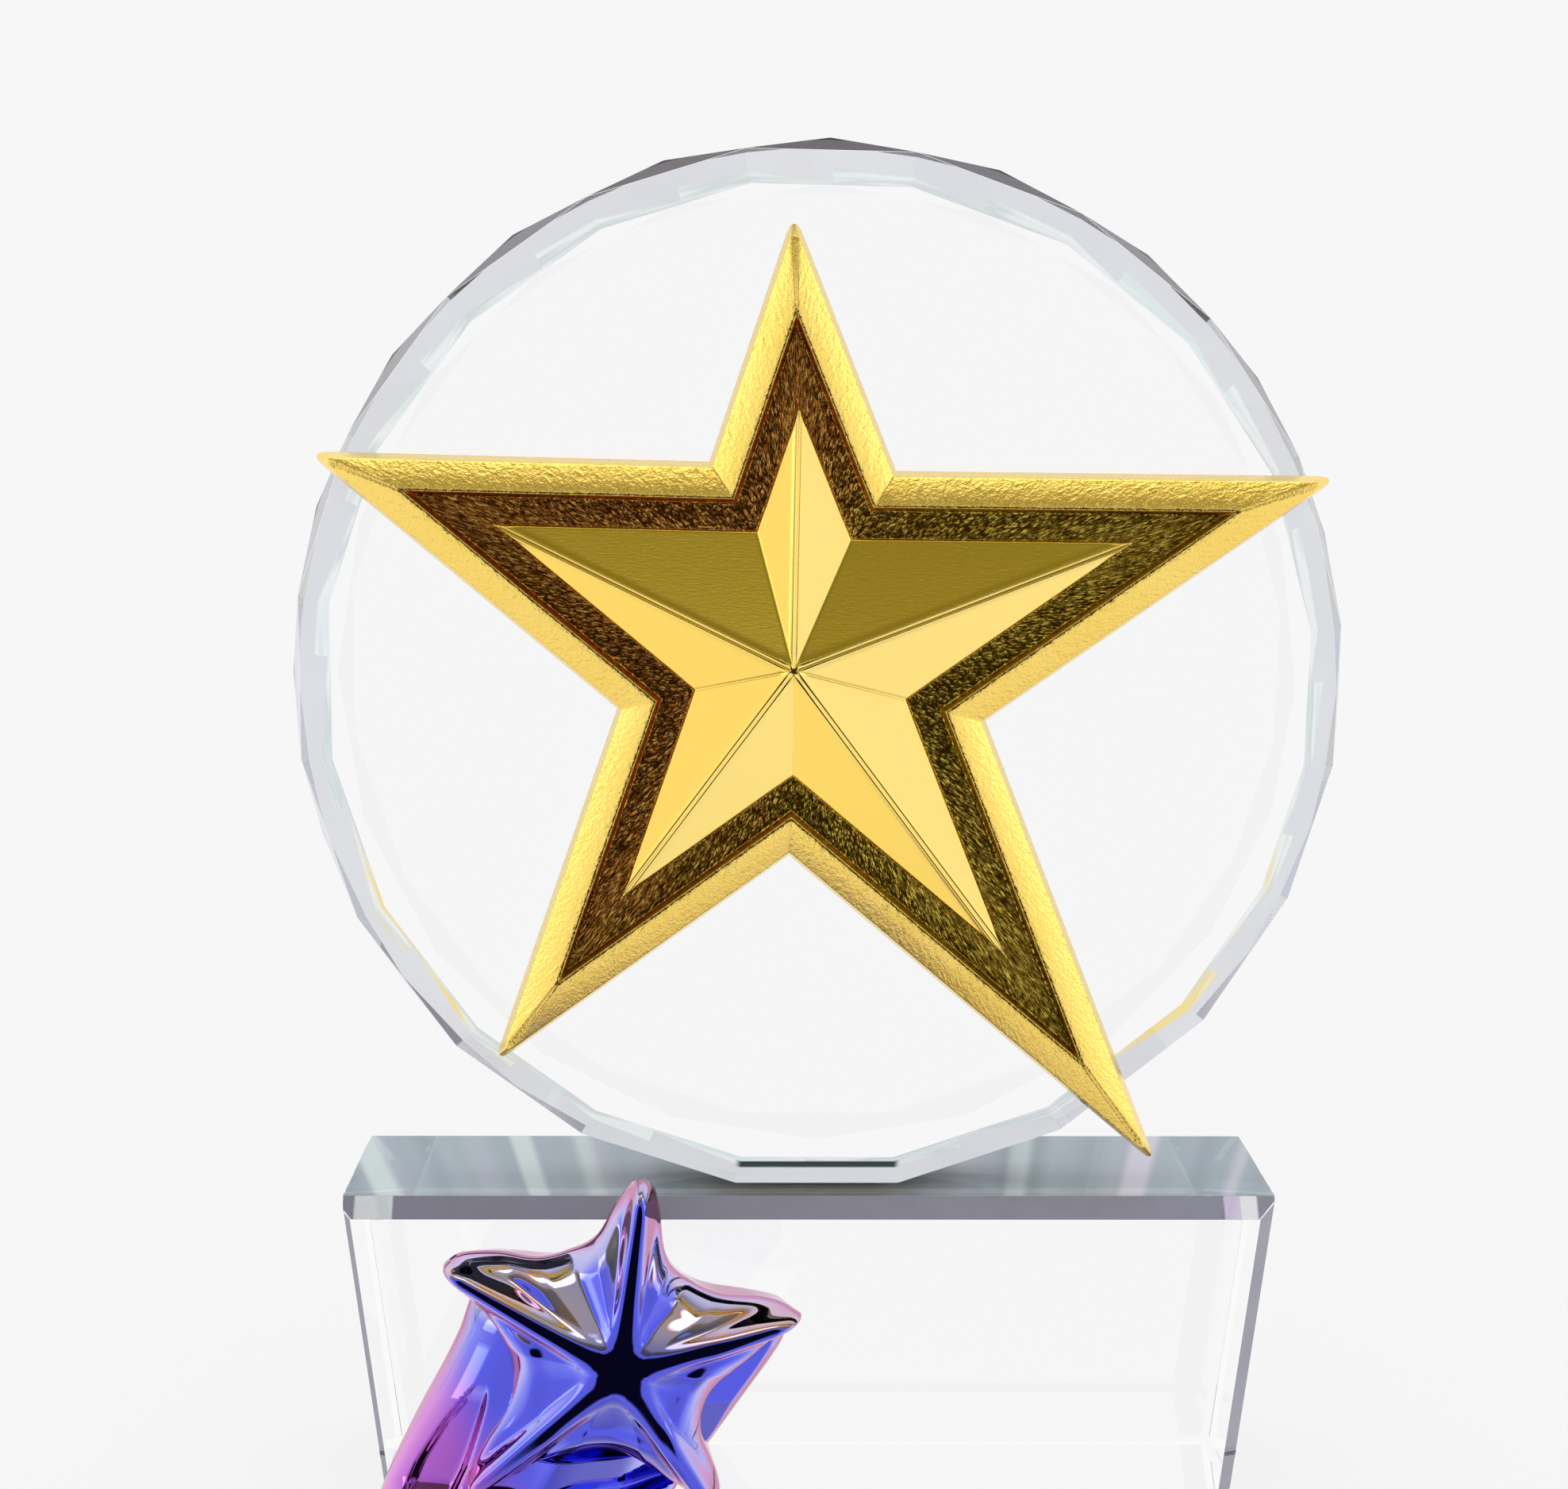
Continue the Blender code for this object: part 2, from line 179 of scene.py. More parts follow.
def crystal_surroundings(g, x, y, z):
    """What is seen through crystal: plain paper, with faint spectral tints and greys towards the
    front of the room and overhead."""
    direction = g.node("ShaderNodeCombineXYZ", {0: x, 1: y, 2: z}).outputs[0]
    tints = g.ramp(g.noise(direction, 2.6, 1.0),
                   ((0.30, (0.62, 0.72, 0.72)), (0.42, (0.70, 0.71, 0.76)),
                    (0.55, (0.78, 0.79, 0.84)), (0.64, (0.82, 0.83, 0.74)),
                    (0.75, (0.66, 0.66, 0.74))))
    colour = g.mix(g.step(y, 0.45, 0.30), (SEEN_THROUGH,) * 3, tints)
    overhead = g.product(g.step(z, 0.45, 0.62), g.step(y, 0.6, 0.2))
    return g.mix(overhead, colour, (0.30, 0.29, 0.34))


def build_world():
    world = bpy.data.worlds.new("studio")
    SCENE.world = world
    world.use_nodes = True
    world.node_tree.nodes.clear()
    g = Graph(world.node_tree)
    x, y, z = g.split(g.node("ShaderNodeTexCoord").outputs["Generated"])[:3]
    path = g.node("ShaderNodeLightPath").outputs
    colour = g.mix(path["Is Glossy Ray"], (1.0, 1.0, 1.0), mirror_surroundings(g, x, y, z))
    colour = g.mix(path["Is Transmission Ray"], colour, crystal_surroundings(g, x, y, z))
    colour = g.mix(path["Is Camera Ray"], colour, (BACKDROP,) * 3)
    background = g.node("ShaderNodeBackground", {"Color": colour})
    output = g.node("ShaderNodeOutputWorld", {"Surface": background.outputs[0]})
    output.is_active_output = True


def build_floor():
    """Pale floor. Most of its light is its own glow, as on an overexposed sweep of paper, so the
    object's shadow on it stays faint."""
    reach = 40.0
    corners = [(x * reach, y * reach, 0.0) for x, y in ((-1, -1), (1, -1), (1, 1), (-1, 1))]
    mesh = bpy.data.meshes.new("floor")
    mesh.from_pydata(corners, [], [(0, 1, 2, 3)])
    floor = bpy.data.objects.new("floor", mesh)
    SCENE.collection.objects.link(floor)
    material, g, output = new_material("paper_sweep")
    own_glow = 0.86
    paper = g.node("ShaderNodeBsdfDiffuse", {"Color": (BACKDROP * (1 - own_glow),) * 3})
    glow = g.node("ShaderNodeEmission", {"Color": (BACKDROP * own_glow,) * 3})
    both = g.node("ShaderNodeAddShader", {0: paper.outputs[0], 1: glow.outputs[0]})
    g.feed(output.inputs["Surface"], both.outputs[0])
    mesh.materials.append(material)
    floor.visible_glossy = False
    floor.visible_transmission = False


def build_camera():
    camera = bpy.data.objects.new("camera", bpy.data.cameras.new("camera"))
    SCENE.collection.objects.link(camera)
    camera.location = CAMERA_PLACE
    yaw, pitch, roll = (math.radians(angle) for angle in CAMERA_TURN)
    camera.rotation_euler = (Matrix.Rotation(yaw, 3, "Z")
                             @ Matrix.Rotation(math.pi / 2 - pitch, 3, "X")
                             @ Matrix.Rotation(roll, 3, "Z")).to_euler()
    camera.data.lens = CAMERA_LENS
    camera.data.sensor_width = 36.0
    camera.data.clip_start = 0.01
    SCENE.camera = camera
    SCENE.view_settings.view_transform = "Standard"


# ---------------------------------------------------------------- crystal

def facet_share(g, normal, direction, centre, half_width):
    """1 on facets whose normal makes about this dot product with the direction, else 0."""
    facing = g.vector("DOT_PRODUCT", normal, Vector(direction).normalized())
    off = g.math("ABSOLUTE", g.math("SUBTRACT", facing, centre))
    return g.step(off, half_width, half_width * 0.8)


def shades(tone, spread):
    """The tone made darker and lighter by a share of itself."""
    return tuple(c * (1 - spread) for c in tone), tuple(min(1.0, c * (1 + spread)) for c in tone)


def painted_facet_reflections(g, where, geometry, facets):
    """Painted reflections, given to the glass as its colour. Each (direction, centre, half width,
    tint) colours the facets whose normal has that dot product with the direction: a ground edge
    is painted with the dark parts of the room it would reflect. A tint is a colour or a function
    that makes one."""
    normal = geometry["True Normal"]
    outside = g.math("SUBTRACT", 1.0, geometry["Backfacing"])
    cloud = g.noise(where, 90.0, 3.0)
    colour = (1.0, 1.0, 1.0)
    for direction, centre, half_width, tint in facets:
        shade = tint(g, where, normal) if callable(tint) else g.mix(cloud, *shades(tint, 0.15))
        share = g.product(facet_share(g, normal, direction, centre, half_width), outside)
        colour = g.mix(share, colour, shade)
    return colour


def straight_view(g, geometry):
    """1 where a view straight through the two big faces meets a small facet from inside. It isn't
    bent again there, which keeps the big faces clear."""
    straight = g.step(g.math("ABSOLUTE", g.split(geometry["Incoming"])[1]), 0.970, 0.975)
    side, front, top = (g.math("ABSOLUTE", part) for part in g.split(geometry["True Normal"])[:3])
    small_facet = g.product(g.step(front, 0.985, 0.975), g.step(top, 0.985, 0.975),
                            g.step(side, 0.97, 0.96))
    seen_directly = g.node("ShaderNodeLightPath").outputs["Is Camera Ray"]
    return g.product(geometry["Backfacing"], straight, small_facet,
                     g.math("SUBTRACT", 1.0, seen_directly))


def lay_veils(g, where, geometry, surface, veils):
    """Covers facets as total reflection inside the glass does. Each veil (direction, tint, low,
    high) lies on the facets facing the direction, fully where the cosine of the view to the facet
    is below low and not at all above high."""
    normal = geometry["True Normal"]
    outside = g.math("SUBTRACT", 1.0, geometry["Backfacing"])
    slant = g.math("ABSOLUTE", g.vector("DOT_PRODUCT", geometry["Incoming"], normal))
    for direction, tint, low, high in veils:
        share = g.product(facet_share(g, normal, direction, 1.0, 0.03), outside,
                          g.step(slant, high, low), VEIL)
        veil = g.node("ShaderNodeBsdfDiffuse", {"Color": tint(g, where, normal)})
        surface = g.node("ShaderNodeMixShader", {0: share, 1: surface, 2: veil.outputs[0]}).outputs[0]
    return surface


def crystal_material(name, facets, veils=()):
    """Polished crystal with painted reflections on its ground facets and veils over some of its
    outer faces.
    """
    material, g, output = new_material(name)
    where = object_space(g)
    geometry = g.node("ShaderNodeNewGeometry").outputs
    glass = g.node("ShaderNodeBsdfGlass", {
        "Color": painted_facet_reflections(g, where, geometry, facets), "Roughness": 0.0, "IOR": CRYSTAL_IOR})
    clear = g.node("ShaderNodeBsdfTransparent")
    both = g.node("ShaderNodeMixShader", {
        0: straight_view(g, geometry), 1: glass.outputs[0], 2: clear.outputs[0]})
    surface = lay_veils(g, where, geometry, both.outputs[0], veils)
    g.feed(output.inputs["Surface"], surface)
    return material


def painted_top_reflections(g, where, _):
    """Painted reflections on the block's top: blurred bands, pale towards its ends, darker under the
    disc as painted shade, and running towards a point far in front of it."""
    meeting_y, half_angle = -265 * MM, 0.215
    x, y, _ = g.split(where)[:3]
    angle = g.math("ARCTAN2", x, g.math("SUBTRACT", y, meeting_y))
    across = g.math("DIVIDE", angle, half_angle)
    aside = g.math("ABSOLUTE", across)
    line = g.node("ShaderNodeCombineXYZ", {0: across}).outputs[0]
    ground = g.ramp(g.noise(line, 5.0, 2.0, 0.6),
                    ((0.35, (0.35, 0.415, 0.475)), (0.50, (0.46, 0.54, 0.60)),
                     (0.65, (0.55, 0.585, 0.67))))
    band = g.step(g.noise(line, 7.5, 1.0, 0.5), 0.50, 0.60)
    pale = g.mix(g.step(across, 0.55, 0.70), (0.74, 0.84, 0.85), (0.76, 0.74, 0.84))
    colour = g.mix(g.product(band, g.step(aside, 0.30, 0.60)), ground, pale)
    # Painted shade: darker where the top lies under the disc.
    painted_shade_under_disc = g.product(g.step(aside, 0.42, 0.12), g.step(y, 14 * MM, -8 * MM))
    return g.mix(painted_shade_under_disc, colour, (0.17, 0.175, 0.145))


def painted_chamfer_reflections(g, where, _):
    """Painted view of the dark surroundings on the block's front chamfer: purple-grey, lighter to
    the right, with a pale patch at its left end, and a lilac and a white one at its right end."""
    x = g.split(where)[0]
    grain = g.noise(where, 260.0, 3.0)
    left = g.mix(grain, *shades((0.116, 0.106, 0.165), 0.12))
    right = g.mix(grain, *shades((0.168, 0.168, 0.235), 0.12))
    colour = g.mix(g.step(x, -45 * MM, 50 * MM), left, right)
    blur = 0.4 * MM
    for start, end, tone in ((-57.6 * MM, -52.4 * MM, g.mix(grain, (0.62, 0.65, 0.66),
                                                            (0.50, 0.53, 0.56))),
                             (52.2 * MM, 54.6 * MM, (0.60, 0.52, 0.70)),
                             (54.2 * MM, 56.8 * MM, (0.76, 0.76, 0.80))):
        colour = g.mix(g.band(x, start, start + blur, end - blur, end), colour, tone)
    return colour


def painted_bevel_reflections(g, where, _):
    """Painted reflections on the disc's front bevel: pale lavender, with thin wedges of clear and
    cyan glass along its inner edge where the rear bevel shows through, a painted reflection of
    the gold star low down beside the star's feet, and the dark line of the adhesive at its foot."""
    depth, centre_x, facets, first_facet = 5.0 * MM, 1.0 * MM, 20, 0.08
    low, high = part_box("crystal_disc")
    x, y, z = g.split(where)[:3]
    inward = g.math("DIVIDE", g.math("SUBTRACT", low.y + depth, y), depth)
    height = g.math("SUBTRACT", z, (low.z + high.z) / 2)
    aside = g.math("SUBTRACT", x, centre_x)
    angle = g.math("ARCTAN2", height, aside)
    turn = g.node("ShaderNodeCombineXYZ", {0: g.math("COSINE", angle), 1: g.math("SINE", angle),
                                           2: inward}).outputs[0]

    facet = g.math("FRACT", g.math("ADD", g.math("MULTIPLY", angle, facets / math.tau), first_facet))
    wedge_edge = g.math("SUBTRACT", 0.92, g.math("MULTIPLY", facet, 0.42))
    wedge = g.step(g.math("SUBTRACT", inward, wedge_edge), -0.04, 0.04)
    hue = g.ramp(g.noise(turn, 2.3, 2.0),
                 ((0.32, (0.74, 0.83, 0.84)), (0.45, (0.88, 0.90, 0.91)),
                  (0.55, (0.66, 0.72, 0.73)), (0.68, (0.86, 0.89, 0.90))))
    from_bottom = g.math("ABSOLUTE", g.math("ADD", angle, math.pi / 2))
    from_feet = g.math("ABSOLUTE", g.math("SUBTRACT", from_bottom, 0.92))
    # Painted reflection of the gold star, low down beside its feet.
    painted_gold_star_reflection = g.product(g.step(from_feet, 0.34, 0.16), g.step(g.noise(turn, 5.0, 2.0), 0.40, 0.56))
    hue = g.mix(painted_gold_star_reflection, hue, (0.90, 0.74, 0.36))

    lavender = g.mix(g.noise(where, 90.0, 3.0), (0.70, 0.71, 0.75), (0.78, 0.79, 0.825))
    glue = g.product(g.band(inward, 0.56, 0.64, 0.80, 0.86),
                     g.step(g.math("ABSOLUTE", aside), 10.6 * MM, 9.6 * MM),
                     g.step(height, -58 * MM, -60 * MM))
    return g.mix(glue, g.mix(wedge, lavender, hue), (0.05, 0.065, 0.065))


def painted_girdle_shade(g, _, normal):
    """Painted shade, as a reflection of the dim overhead: dark grey along the top of the disc's
    girdle, where it faces up, fading to pale at the sides.
    """
    return g.ramp(g.split(normal)[2], ((0.0, (0.80, 0.81, 0.84)), (0.35, (0.62, 0.63, 0.66)),
                                       (0.80, (0.33, 0.32, 0.35)), (1.0, (0.17, 0.16, 0.18))))


def finish_crystal(node, material):
    """Keeps the CAD solid and gives its ground edges a fine polished arris."""
    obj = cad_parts[node]
    mesh = obj.data
    mesh.shade_flat()
    if "custom_normal" in mesh.attributes:
        mesh.attributes.remove(mesh.attributes["custom_normal"])
    mesh.materials.clear()
    mesh.materials.append(material)
    weld = obj.modifiers.new("weld", "WELD")
    weld.merge_threshold = 0.01 * MM
    arris = obj.modifiers.new("arris", "BEVEL")
    arris.width = ARRIS_WIDTH
    arris.segments = 2
    arris.limit_method = "ANGLE"
    arris.angle_limit = math.radians(7.0)


def build_crystal():
    # The block's upright edges are coloured grey as a painted reflection of the room's dark parts.
    painted_edge_shade = (0.36, 0.365, 0.41)
    front, top, front_chamfer = (0.0, -1.0, 0.0), (0.0, 0.0, 1.0), (0.0, -1.0, 1.0)
    upright_edges = [((side, -1.0, 0.0), 1.0, 0.03, painted_edge_shade) for side in (-1.0, 1.0)]
    finish_crystal("crystal_block", crystal_material(
        "block_crystal", upright_edges,
        ((top, painted_top_reflections, 0.36, 0.60), (front_chamfer, painted_chamfer_reflections, 1.1, 1.2))))
    finish_crystal("crystal_disc", crystal_material(
        "disc_crystal", ((front, 0.68, 0.10, painted_bevel_reflections), (front, 0.12, 0.13, painted_girdle_shade))))


# ---------------------------------------------------------------- meshes from grids

def new_piece(name, node, materials):
    """An object with an empty mesh that stands for a CAD node and rides on the one body."""
    mesh = bpy.data.meshes.new(name)
    obj = bpy.data.objects.new(name, mesh)
    SCENE.collection.objects.link(obj)
    for material in materials:
        mesh.materials.append(material)
    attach(obj, "root")
    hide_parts(node)
    return obj


def grid_faces(rows, columns):
    """Quads joining consecutive closed rows of vertices."""
    row = np.arange(rows - 1)[:, None] * columns
    here = np.arange(columns)[None, :]
    after = (here + 1) % columns
    return np.stack([row + here, row + after, row + columns + after, row + columns + here],
                    axis=-1).reshape(-1, 4)


def fan_faces(ring, centre, turn):
    """Triangles from a ring of vertex numbers to one centre vertex."""
    after = np.roll(ring, -1)
    middle = np.full(len(ring), centre)
    order = (ring, after, middle) if turn > 0 else (after, ring, middle)
    return np.stack(order, axis=-1)


def fill_mesh(mesh, points, quads, triangles):
    mesh.from_pydata(points.tolist(), [], quads.tolist() + triangles.tolist())
    mesh.update()
    mesh.shade_smooth()


def sample_noise(points, scale, offset):
    """Smooth noise between -1 and 1 at each point, for a feature size of 1/scale metres."""
    shift = Vector((offset, 2.3 * offset, -1.7 * offset))
    flat = points.reshape(-1, 3) * scale
    values = [noise.noise(Vector(p) + shift) for p in flat.tolist()]
    return np.array(values).reshape(points.shape[:-1])


def smoothstep(value, low, high):
    t = np.clip((value - low) / (high - low), 0.0, 1.0)
    return t * t * (3 - 2 * t)


# ---------------------------------------------------------------- gold star

STAR_COLUMN = 0.22 * MM        # spacing of the mesh along the star's sides
STAR_TIP_ROUND = 3.2 * MM      # length of each side taken up by a tip's rounding at the wall
CORE_TIP_ROUND = 0.12          # share of that rounding left in the channel and on the core
# Insets from the outline, and heights above the back, of the lines that divide the casting
RIM_FOOT, RIM_CREST, CHANNEL_EDGE, CORE_EDGE = 0.6 * MM, 4.1 * MM, 4.8 * MM, 8.2 * MM
WALL_TOP, CREST_TOP, CHANNEL_FLOOR, CORE_STEP = 3.0 * MM, 5.15 * MM, 4.0 * MM, 4.4 * MM
CUT_TIP = 1.5 * MM             # a shorter side of the CAD outline is a tip's cut-off end
# Heights of the marks on its surface
RIM_HAMMER, RIM_SPARKLE, RIM_GROOVE = 0.024 * MM, 0.15 * MM, 0.16 * MM
INNER_WALL_HAMMER = 0.030 * MM
CHANNEL_WORMS, CHANNEL_HAMMER = 0.14 * MM, 0.010 * MM
HIP_GROOVE, NOTCH_GROOVE = 0.40 * MM, 0.05 * MM


def star_corners():
    """The CAD star's five tips and five notches in its back plane, with the tips made sharp, in
    turn counter-clockwise, and its apex."""
    vertices = np.array([v.co[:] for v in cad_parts["gold_star"].data.vertices])
    apex = vertices[vertices[:, 1].argmin()]
    back = vertices[vertices[:, 1] > vertices[:, 1].max() - 0.05 * MM]
    back = np.unique(back.round(6), axis=0)[:, [0, 2]]
    centre = apex[[0, 2]]
    angle = np.arctan2(*(back - centre).T[::-1])
    ring = back[np.argsort(angle)]
    gaps = np.linalg.norm(np.roll(ring, -1, 0) - ring, axis=1)
    corners = []
    count = len(ring)
    for i in range(count):
        if gaps[i] < CUT_TIP:
            corners.append(meeting_point(ring[i - 1], ring[i], ring[(i + 2) % count],
                                         ring[(i + 1) % count]))
        elif gaps[i - 1] > CUT_TIP:
            corners.append(ring[i])
    corners = np.array(corners)
    reach = np.linalg.norm(corners - centre, axis=1)
    first = 0 if reach[0] > reach[1] else 1
    return np.roll(corners, -first, axis=0), apex


def meeting_point(a, b, c, d):
    """Where the line through a and b meets the line through c and d."""
    along, other = b - a, d - c
    share = np.linalg.solve(np.stack([along, -other], axis=1), c - a)[0]
    return a + along * share


def mitres(corners):
    """How far each corner moves for each unit of inset."""
    result = []
    for i, here in enumerate(corners):
        before = here - corners[i - 1]
        after = corners[(i + 1) % len(corners)] - here
        inward = [np.array([-d[1], d[0]]) / np.linalg.norm(d) for d in (before, after)]
        total = inward[0] + inward[1]
        result.append(total / total.dot(inward[0]))
    return np.array(result)


def star_columns(corners):
    """Each mesh column as (index of one corner, index of the next, share between, fixed offset):
    evenly spaced along the sides, and on a small arc round each tip."""
    columns = []
    count = len(corners)
    for i in range(0, count, 2):
        tip = corners[i]
        before, after = corners[i - 1] - tip, corners[i + 1] - tip
        before, after = (d / np.linalg.norm(d) * STAR_TIP_ROUND for d in (before, after))
        for t in np.linspace(0.0, 1.0, 9)[:-1]:
            columns.append((i, i, 0.0, (1 - t) ** 2 * before + t ** 2 * after))
        for a, b, start, end in ((i, i + 1, STAR_TIP_ROUND, 0.0),
                                 (i + 1, (i + 2) % count, 0.0, STAR_TIP_ROUND)):
            side = corners[b] - corners[a]
            length = np.linalg.norm(side)
            steps = int(length / STAR_COLUMN)
            for k in range(steps):
                share = k / steps
                offset = side / length * (start * (1 - share) - end * share)
                columns.append((a, b, share, offset))
    return columns


def profile_rows():
    """The casting's section as (inset, height, zone): wall, rim, inner wall and channel."""
    rim_row, channel_row, crown = 0.19 * MM, 0.16 * MM, 1.25
    rows = [(0.0, 0.0, "wall"), (0.02 * MM, 0.15 * MM, "wall")]
    rows += [(RIM_FOOT * s, WALL_TOP * s, "wall") for s in np.linspace(0.12, 0.94, 8)]
    rim = int((RIM_CREST - RIM_FOOT) / rim_row)
    for k in range(rim + 1):
        share = k / rim
        lift = 1 - (1 - share) ** crown
        rows.append((RIM_FOOT + (RIM_CREST - RIM_FOOT) * share + 0.03 * MM,
                     WALL_TOP + (CREST_TOP - WALL_TOP) * lift, "rim"))
    for share, drop in ((0.25, 0.03), (0.45, 0.12), (0.62, 0.32), (0.78, 0.60), (0.92, 0.86)):
        rows.append((RIM_CREST + (CHANNEL_EDGE - RIM_CREST) * share,
                     CREST_TOP - (CREST_TOP - CHANNEL_FLOOR) * drop, "inner_wall"))
    channel = int((CORE_EDGE - CHANNEL_EDGE) / channel_row)
    for share in np.linspace(0.0, 1.0, channel + 1):
        rows.append((CHANNEL_EDGE + (CORE_EDGE - CHANNEL_EDGE) * share, CHANNEL_FLOOR, "channel"))
    rows.append((CORE_EDGE + 0.05 * MM, CHANNEL_FLOOR + 0.2 * MM, "core_edge"))
    rows.append((CORE_EDGE + 0.13 * MM, CORE_STEP - 0.04 * MM, "core_edge"))
    return rows


def line_distance(points, start, end):
    """Distance in plan from each point to the line between start and end."""
    line = end - start
    share = np.clip(((points - start) @ line) / line.dot(line), 0.0, 1.0)
    return np.linalg.norm(points - start - share[..., None] * line, axis=-1)


def star_grid(corners, apex):
    """Undisplaced points of the casting as rows by columns by xyz, and each row's zone."""
    moves = mitres(corners)
    columns = star_columns(corners)
    first = np.array([c[0] for c in columns])
    second = np.array([c[1] for c in columns])
    share = np.array([c[2] for c in columns])[:, None]
    offset = np.array([c[3] for c in columns])
    back_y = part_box("gold_star")[1].y
    rows, zones = [], []
    for inset, height, zone in profile_rows():
        moved = corners + moves * inset
        rounding = 1 - (1 - CORE_TIP_ROUND) * min(1.0, inset / RIM_CREST)
        plan = moved[first] * (1 - share) + moved[second] * share + offset * rounding
        rows.append(np.stack([plan[:, 0], np.full(len(plan), back_y - height), plan[:, 1]], 1))
        zones.append(zone)
    edge = rows[-1].copy()
    edge[:, 1] = back_y - CORE_STEP
    for s in np.concatenate([np.linspace(0.006, 0.06, 6), np.linspace(0.1, 0.97, 26)]):
        rows.append(edge * (1 - s) + apex * s)
        zones.append("core")
    return np.array(rows), zones


def grid_normals(grid):
    """Unit normal at each point of a grid, out of the front or side of the casting."""
    across = np.roll(grid, -1, 1) - np.roll(grid, 1, 1)
    along = np.gradient(grid, axis=0)
    normal = np.cross(along, across)
    length = np.linalg.norm(normal, axis=-1, keepdims=True)
    normal /= np.maximum(length, 1e-12)
    return normal * np.where(normal[..., 1:2] > 0.15, -1.0, 1.0)


def ridge(distance, half_width):
    """1 on a line and falling to 0 beside it."""
    return np.exp(-(distance / half_width) ** 2)


def star_relief(grid, zones, corners, apex):
    """Height of the casting's surface marks: a hammered, sparkling rim, worm-shaped crinkles in
    the channel, and grooves along the ridges. Also how raised each point is by a crinkle, 0 to 1."""
    mask = {name: np.array([z == name for z in zones], float)[:, None]
            for name in ("rim", "channel", "core", "inner_wall")}
    hammer = sample_noise(grid, 1500.0, 3.1) + 0.6 * sample_noise(grid, 3200.0, 7.7)
    wander = sample_noise(grid, 900.0, 5.0)[..., None] * 0.25 * MM
    crinkle = sample_noise(grid + wander, 2300.0, 11.0)
    worm_width = 0.24
    worms = np.clip(1.0 - np.abs(crinkle) / worm_width, 0.0, 1.0)
    sparkle = np.clip(sample_noise(grid, 2700.0, 21.0) - 0.25, 0.0, 1.0)
    relief = mask["rim"] * (hammer * RIM_HAMMER + sparkle * RIM_SPARKLE)
    relief += mask["inner_wall"] * hammer * INNER_WALL_HAMMER
    relief += mask["channel"] * (worms * CHANNEL_WORMS + hammer * CHANNEL_HAMMER)
    plan = grid[..., [0, 2]]
    middle = apex[[0, 2]]
    moves = mitres(corners)
    crests, core_corners = corners + moves * RIM_CREST, corners + moves * CORE_EDGE
    for i in range(0, len(corners), 2):
        near = line_distance(plan, corners[i], crests[i])
        relief -= mask["rim"] * RIM_GROOVE * ridge(near, 0.14 * MM)
        near = line_distance(plan, core_corners[i], middle)
        groove = ridge(near, 0.20 * MM) - 0.32 * ridge(near, 0.55 * MM)
        relief -= mask["core"] * HIP_GROOVE * groove
        near = line_distance(plan, core_corners[i + 1], middle)
        relief -= mask["core"] * NOTCH_GROOVE * ridge(near, 0.16 * MM)
    return relief, mask["channel"] * worms


def build_gold_star():
    """The casting as one closed mesh: a displaced front and side, a peak and a flat back."""
    corners, apex = star_corners()
    grid, zones = star_grid(corners, apex)
    relief, worms = star_relief(grid, zones, corners, apex)
    grid = grid + grid_normals(grid) * relief[..., None]
    back_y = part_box("gold_star")[1].y
    grid[..., 1] = np.minimum(grid[..., 1], back_y)
    rows, columns = grid.shape[:2]
    blunting = 0.12 * MM
    peak = apex + np.array([0.0, blunting, 0.0])
    back = np.array([apex[0], back_y, apex[2]])
    points = np.vstack([grid.reshape(-1, 3), peak, back])
    quads = grid_faces(rows, columns)
    total = rows * columns
    front = fan_faces(np.arange(total - columns, total), total, 1)
    rear = fan_faces(np.arange(columns), total + 1, -1)
    gold = [gold_material(name) for name in ("rim", "channel", "core")]
    star = new_piece("gold_star_casting", "gold_star", gold)
    fill_mesh(star.data, points, quads, np.vstack([front, rear]))
    slots = {"wall": 0, "rim": 0, "inner_wall": 1, "channel": 1, "core_edge": 2, "core": 2}
    per_row = np.array([slots[z] for z in zones[:-1]])
    index = np.concatenate([np.repeat(per_row, columns), np.full(columns, 2),
                            np.zeros(columns, int)])
    star.data.polygons.foreach_set("material_index", index.astype(np.int32))
    raised = star.data.attributes.new("raised", "FLOAT", "POINT")
    raised.data.foreach_set("value", np.append(worms.ravel(), (0.0, 0.0)).astype(np.float32))


